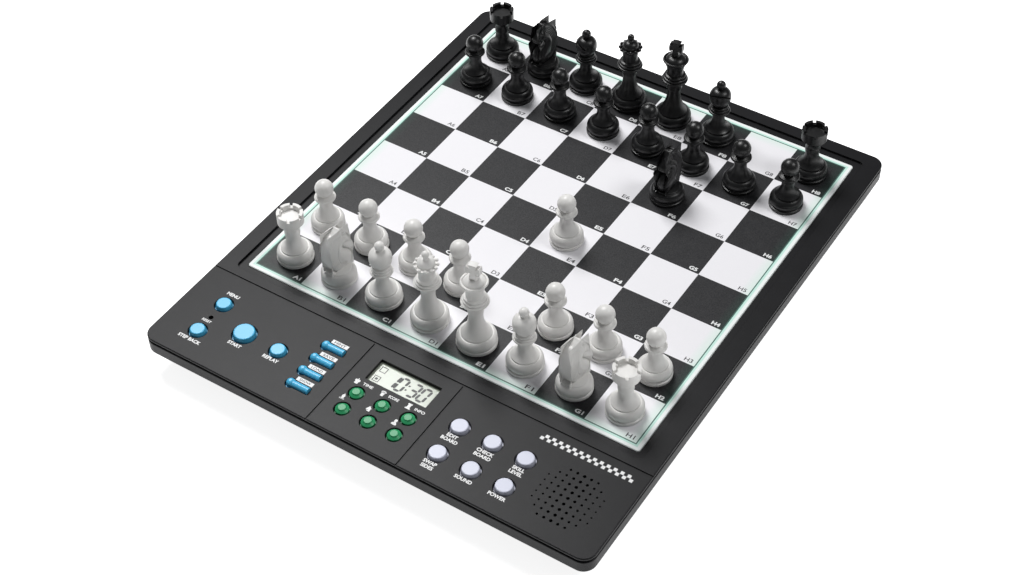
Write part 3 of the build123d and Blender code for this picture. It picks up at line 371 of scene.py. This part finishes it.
def piece(name, mesh, material, body, smooth=True):
    """Turns a bmesh into an object that rides on a body."""
    data = bpy.data.meshes.new(name)
    mesh.to_mesh(data)
    mesh.free()
    for face in data.polygons:
        face.use_smooth = smooth
    data.materials.append(material)
    made = bpy.data.objects.new(name, data)
    bpy.context.scene.collection.objects.link(made)
    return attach(made, body)


def print_square_names():
    """The name of each square in its near right corner: bold white on dark, thin grey on light."""
    on_dark = Print("names_on_dark_squares", (0.85, 0.86, 0.86), PANEL_Z)
    on_light = Print("names_on_light_squares", (0.06, 0.06, 0.065), PANEL_Z)
    for file in range(SQUARES):
        for rank in range(SQUARES):
            dark = (file + rank) % 2 == 0
            ink = on_dark if dark else on_light
            x = -BOARD_HALF + file * SQUARE + 29.8 * MM
            y = BOARD_Y - BOARD_HALF + rank * SQUARE + 1.3 * MM
            words = "ABCDEFGH"[file] + str(rank + 1)
            ink.text(words, x, y, 2.9 * MM, 5.2 * MM if dark else 5.0 * MM, 0.04 if dark else 0.012, "RIGHT")
    on_dark.finish()
    on_light.finish()


def print_legends():
    """White words on the case around the keys."""
    ink = Print("case_legends", (0.86, 0.86, 0.86), TOP_Z)
    rear_left = middle("blue_key_rear_left")
    front_left = middle("blue_key_front_left")
    large = middle("blue_key_large")
    right = middle("blue_key_right")
    switch = middle("reset_switch")
    small = 2.4 * MM
    bold = 0.04
    ink.text("MENU", rear_left.x, rear_left.y + 7.4 * MM, small, weight=bold)
    ink.text("RESET", switch.x - 0.5 * MM, switch.y - 4.1 * MM, 1.8 * MM, weight=0.03)
    ink.text("STEP BACK", front_left.x, front_left.y - 8.7 * MM, small, weight=bold)
    ink.text("START", large.x, large.y - 10.3 * MM, small, weight=bold)
    ink.text("REPLAY", right.x, right.y - 8.1 * MM, small, weight=bold)
    for column, row, words in (
        ("left", "rear", ("EDIT", "BOARD")),
        ("middle", "rear", ("CHECK", "BOARD")),
        ("right", "rear", ("SKILL", "LEVEL")),
        ("left", "front", ("SWAP", "SIDES")),
        ("middle", "front", ("SOUND",)),
        ("right", "front", ("POWER",)),
    ):
        key = middle(f"grey_key_{row}_{column}")
        for line, word in enumerate(words):
            ink.text(word, key.x, key.y - (8.3 + 3.1 * line) * MM, small, weight=bold)
    figures = (
        ("rear_left", "♚"), ("rear_middle", "♛"), ("rear_right", "♜"),
        ("front_left", "♝"), ("front_middle", "♞"), ("front_right", "♟"),
    )
    for place, figure in figures:
        key = middle("green_key_" + place)
        ink.text(figure, key.x - 4.7 * MM, key.y + 5.4 * MM, 4.1 * MM, 3.3 * MM, 0.01)
    for column, word in (("left", "TIME"), ("middle", "SCORE"), ("right", "INFO")):
        key = middle("green_key_rear_" + column)
        ink.text(word, key.x + 2.4 * MM, key.y + 6.6 * MM, 1.9 * MM, 6.6 * MM, 0.03)
    ink.finish()


def print_bar_labels():
    """A white box with a dark word behind each bar key."""
    boxes = Print("bar_key_label_boxes", (0.86, 0.86, 0.86), TOP_Z)
    words = Print("bar_key_label_words", (0.03, 0.03, 0.03), TOP_Z + INK)
    for n, word in enumerate(("HINT", "SAVE", "LOAD", "SHOW")):
        key = middle(f"bar_key_{n + 1}")
        x = key.x + 1.7 * MM
        y = key.y + 4.7 * MM
        boxes.rectangle(x, y, 11.0 * MM, 2.7 * MM)
        words.text(word, x, y - 0.85 * MM, 1.7 * MM, 7.6 * MM, 0.02)
    boxes.finish()
    words.finish()


def print_strip():
    """A plain checker strip in the keypad's rear right corner."""
    ink = Print("checker_strip", (0.82, 0.82, 0.82), TOP_Z)
    left, right = 83.2 * MM, 141.4 * MM
    low, high = -121.7 * MM, -117.5 * MM
    cell = (high - low) / 2
    count = int((right - left) / cell)
    for n in range(count):
        ink.rectangle(left + (n + 0.5) * cell, low + (0.5 + n % 2) * cell, cell, cell)
    ink.finish()


# ---------------------------------------------------------------- display
SEGMENTS = {
    "0": "abcdef", "1": "bc", "2": "abged", "3": "abgcd", "4": "fgbc",
    "5": "afgcd", "6": "afgedc", "7": "abc", "8": "abcdefg", "9": "abcdfg",
}


def show_time():
    """Slanted seven-segment digits and two marks on the display."""
    ink = Print("display_segments", (0.006, 0.008, 0.007), glass_high.z)
    centre = (glass_low + glass_high) / 2
    width, height, stroke = 4.3 * MM, 9.6 * MM, 1.5 * MM
    base = centre.y - height / 2
    slant = 0.12

    def lean(points, x):
        return [(x + px + slant * py, base + py) for px, py in points]

    def bar(start, end):
        """A segment between two corners, pointed at both ends."""
        along = (Vector(end) - Vector(start)).normalized()
        aside = Vector((-along.y, along.x)) * stroke / 2
        tip = along * stroke / 2
        a = Vector(start) + along * 0.12 * stroke
        b = Vector(end) - along * 0.12 * stroke
        corners = (a, a + tip - aside, b - tip - aside, b, b - tip + aside, a + tip + aside)
        return [tuple(c) for c in corners]

    half = height / 2
    strokes = {
        "a": bar((0, height), (width, height)),
        "b": bar((width, half), (width, height)),
        "c": bar((width, 0), (width, half)),
        "d": bar((0, 0), (width, 0)),
        "e": bar((0, 0), (0, half)),
        "f": bar((0, half), (0, height)),
        "g": bar((0, half), (width, half)),
    }
    for digit, x in zip("1030", (-9.6, -4.1, 4.4, 10.7)):
        for name in SEGMENTS[digit]:
            ink.shape(lean(strokes[name], centre.x + x * MM))
    dot = 0.55 * MM
    for y in (0.3 * height, 0.65 * height):
        x = centre.x + 2.2 * MM
        ink.shape(lean([(-dot, y - dot), (dot, y - dot), (dot, y + dot), (-dot, y + dot)], x))
    mark_x = centre.x - 16.0 * MM
    for y, filled in ((centre.y + 3.6 * MM, False), (centre.y - 3.6 * MM, True)):
        side, line = 4.2 * MM, 0.5 * MM
        ink.rectangle(mark_x, y + (side - line) / 2, side, line)
        ink.rectangle(mark_x, y - (side - line) / 2, side, line)
        ink.rectangle(mark_x - (side - line) / 2, y, line, side - 2 * line)
        ink.rectangle(mark_x + (side - line) / 2, y, line, side - 2 * line)
        if filled:
            ink.rectangle(mark_x, y, 1.6 * MM, 1.6 * MM)
    ink.finish()


# ---------------------------------------------------------------- knights
FOOT_PROFILE = (
    (0.0, 0.0), (10.2, 0.0), (10.55, 0.15), (10.7, 0.5), (10.7, 2.0), (10.45, 2.2), (9.95, 2.35), (9.9, 2.75),
    (10.3, 3.3), (10.55, 4.2), (10.5, 5.2), (10.2, 6.2), (9.7, 7.2), (9.1, 7.9), (8.5, 8.3), (7.95, 8.35),
    (7.7, 8.55), (7.6, 8.9), (7.3, 9.1), (0.0, 9.1),
)
# The horse from the side, nose towards +: how far forward and up each corner of the outline is, half the
# width of the edge there, and how far the middle of the edge stands out.
HORSE_OUTLINE = (
    (-3.4, 8.9, 0.9, 0.1), (-1.0, 8.7, 1.4, 0.1), (2.0, 8.7, 2.0, 0.1), (4.8, 9.2, 2.4, 0.3),
    (7.2, 11.4, 2.4, 0.9), (8.4, 14.4, 2.4, 1.2), (8.3, 17.6, 2.3, 1.2), (6.9, 20.4, 2.1, 1.0),
    (4.6, 22.6, 1.9, 0.7), (2.8, 24.6, 1.9, 0.3), (2.3, 26.4, 2.0, 0.1), (3.2, 27.4, 2.3, 0.2),
    (4.6, 27.3, 2.3, 0.2), (5.9, 26.8, 2.2, 0.3), (7.2, 26.4, 2.2, 0.4), (8.4, 26.9, 2.2, 0.4),
    (8.8, 28.2, 2.3, 0.3), (8.4, 29.6, 2.3, 0.2), (7.4, 31.0, 2.2, 0.2), (6.2, 32.7, 2.4, 0.3),
    (5.2, 34.3, 2.7, 0.3), (4.4, 35.6, 2.6, 0.3), (3.6, 36.8, 2.3, 0.0), (2.8, 38.0, 2.0, -0.3),
    (1.8, 38.4, 1.9, -0.2), (0.7, 37.8, 2.2, -0.2), (-0.6, 36.9, 2.6, 0.1), (-1.6, 36.2, 2.8, 0.2),
    (-2.4, 35.8, 2.9, 0.2), (-3.1, 35.6, 3.0, 0.2), (-3.9, 35.2, 3.2, 0.5), (-5.0, 34.2, 3.5, 0.6),
    (-6.4, 32.0, 3.9, 0.6), (-7.4, 29.2, 4.2, 0.6), (-8.1, 26.0, 4.2, 0.5), (-8.4, 22.4, 4.0, 0.5),
    (-8.2, 19.0, 3.6, 0.4), (-7.5, 15.8, 2.8, 0.4), (-6.4, 12.8, 1.8, 0.3), (-5.0, 10.4, 1.0, 0.2),
)
HORSE_BACK = 29
HORSE_FRONT_LOW = 4
HORSE_FRONT_HIGH = 9


def smooth_step(value, low, high):
    """0 below low, 1 above high and a smooth rise between them."""
    t = min(max((value - low) / (high - low), 0.0), 1.0)
    return t * t * (3.0 - 2.0 * t)


def dome(value, radius):
    """Quarter-circle rise from 0 at value 0 to 1 at value radius."""
    t = 1.0 - min(max(value / radius, 0.0), 1.0)
    return math.sqrt(1.0 - t * t)


def rounded_outline(corners, steps):
    """A closed smooth curve through the corners, with every number of a corner interpolated."""
    count = len(corners)
    rows = []
    for n in range(count):
        a, b, c, d = (corners[(n + k) % count] for k in (-1, 0, 1, 2))
        for step in range(steps):
            t = step / steps
            row = []
            for p, q, r, w in zip(a, b, c, d):
                row.append(0.5 * (2 * q + (r - p) * t + (2 * p - 5 * q + 4 * r - w) * t * t + (3 * q - p - 3 * r + w) * t ** 3))
            rows.append(row)
    return rows


def horse_width(forward, up, depth, back_depth, front_depth, edge):
    """Half the horse's width at a place on its side, from its distances to the outline."""
    neck = 4.7 - 1.7 * smooth_step(up, 25.0, 36.0) - 1.3 * (1.0 - smooth_step(up, 9.0, 17.0))
    chest = smooth_step(back_depth - front_depth, -1.5, 3.0)
    rise = (1.0 - chest) * dome(depth, 1.8) + chest * dome(depth, 4.5)
    width = edge + (neck + 0.6 * chest - edge) * rise
    head = smooth_step(up, 25.5, 27.5) * smooth_step(forward, 1.0, 4.5)
    width -= 0.9 * head * smooth_step(depth, 0.0, 1.5)
    cheek = math.hypot(forward - 2.6, up - 30.2)
    width += 0.4 * (1.0 - smooth_step(cheek, 1.4, 3.0)) * head
    eye = math.hypot(forward - 4.2, up - 33.4)
    width += 0.5 * (1.0 - smooth_step(eye, 0.5, 1.0))
    width -= 0.35 * (smooth_step(eye, 0.9, 1.3) - smooth_step(eye, 1.3, 1.9))
    nostril = math.hypot(forward - 7.6, up - 28.6)
    width -= 0.5 * (1.0 - smooth_step(nostril, 0.35, 0.9))
    mouth = abs(up - 27.6 - 0.15 * (forward - 6.0))
    width -= 0.4 * (1.0 - smooth_step(mouth, 0.15, 0.5)) * smooth_step(forward, 5.4, 6.4)
    mane = smooth_step(back_depth, 0.5, 0.9) * (1.0 - chest) * (1.0 - smooth_step(up, 33.5, 35.5))
    mane *= smooth_step(up, 10.0, 13.0) * (1.0 - smooth_step(back_depth, 5.6, 6.4))
    strand = 0.5 + 0.5 * math.cos(2.0 * math.pi * back_depth / 1.05)
    return max(width - 0.55 * mane * strand, 0.6)


def knight_mesh():
    """The knight about its own axis, standing on z = 0, facing +Y, in metres."""
    mesh = bmesh.new()
    turns = 72
    rings = []
    for radius, height in FOOT_PROFILE:
        ring = []
        for n in range(turns if radius > 0 else 1):
            a = 2.0 * math.pi * n / turns
            ring.append(mesh.verts.new((radius * math.cos(a) * MM, radius * math.sin(a) * MM, height * MM)))
        rings.append(ring)
    for lower, upper in zip(rings, rings[1:]):
        for n in range(turns):
            after = (n + 1) % turns
            corners = [lower[n % len(lower)], lower[after % len(lower)], upper[after % len(upper)], upper[n % len(upper)]]
            mesh.faces.new(list(dict.fromkeys(corners)))
    outline = rounded_outline(HORSE_OUTLINE, 6)
    count = len(outline)
    spots = [Vector(row[:2]) for row in outline]
    lows = [min(spot[k] for spot in spots) for k in (0, 1)]
    highs = [max(spot[k] for spot in spots) for k in (0, 1)]
    pitch = 0.4
    inner = []
    for i in range(int((highs[0] - lows[0]) / pitch) + 1):
        for j in range(int((highs[1] - lows[1]) / pitch) + 1):
            spot = Vector((lows[0] + (i + 0.5 * (j % 2)) * pitch, lows[1] + j * pitch))
            if min((spot - other).length for other in spots) > 0.55 * pitch:
                inner.append(spot)
    edges = [(n, (n + 1) % count) for n in range(count)]
    made = delaunay_2d_cdt(spots + inner, edges, [list(range(count))], 1, 1e-6, True)
    back = spots[HORSE_BACK * 6:] + spots[:6]
    front = spots[HORSE_FRONT_LOW * 6:HORSE_FRONT_HIGH * 6]
    sides = {}
    for side in (-1, 1):
        column = []
        for spot in made[0]:
            gaps = [(spot - other).length for other in spots]
            near = gaps.index(min(gaps))
            back_depth = min((spot - other).length for other in back)
            front_depth = min((spot - other).length for other in front)
            width = horse_width(spot.x, spot.y, gaps[near], back_depth, front_depth, outline[near][2])
            if gaps[near] < 1e-4:
                width = outline[near][2]
            column.append(mesh.verts.new((side * width * MM, spot.x * MM, spot.y * MM)))
        for face in made[2]:
            mesh.faces.new([column[n] for n in face])
        sides[side] = column
    order = {}
    for index, spot in enumerate(made[0]):
        for n, other in enumerate(spots):
            if (spot - other).length < 1e-4:
                order[n] = index
    shares = (-0.85, -0.5, 0.0, 0.5, 0.85)
    rows = []
    for n in range(count):
        along = spots[(n + 1) % count] - spots[n - 1]
        away = Vector((along.y, -along.x)).normalized()
        half, lift = outline[n][2], outline[n][3]
        row = [sides[-1][order[n]]]
        for share in shares:
            out = spots[n] + away * lift * (1.0 - share * share)
            row.append(mesh.verts.new((share * half * MM, out.x * MM, out.y * MM)))
        row.append(sides[1][order[n]])
        rows.append(row)
    for n in range(count):
        after = rows[(n + 1) % count]
        for k in range(len(shares) + 1):
            mesh.faces.new((rows[n][k], after[k], after[k + 1], rows[n][k + 1]))
    bmesh.ops.recalc_face_normals(mesh, faces=mesh.faces)
    return mesh


def place_knights(looks):
    """A sculpted knight in place of each CAD knight, turned as the CAD one is."""
    for name, turn in KNIGHT_TURNS.items():
        low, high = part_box(name)
        mesh = knight_mesh()
        mesh.transform(Matrix.Translation(((low.x + high.x) / 2, (low.y + high.y) / 2, low.z))
                       @ Matrix.Rotation(math.radians(turn), 4, "Z"))
        slot = "white_chessman" if name.startswith("white") else "black_chessman"
        horse = piece(name + "_sculpt", mesh, looks[slot].material, name)
        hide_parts(name)


KNIGHT_TURNS = {
    "white_knight_left": -8,
    "white_knight_right": -8,
    "black_knight_left": 170,
    "black_knight_right": 178,
}


# ---------------------------------------------------------------- build
make_camera()
make_lights()
make_floor()
looks = make_materials()
dress_nodes(looks)
print_square_names()
print_legends()
print_bar_labels()
print_strip()
show_time()
place_knights(looks)
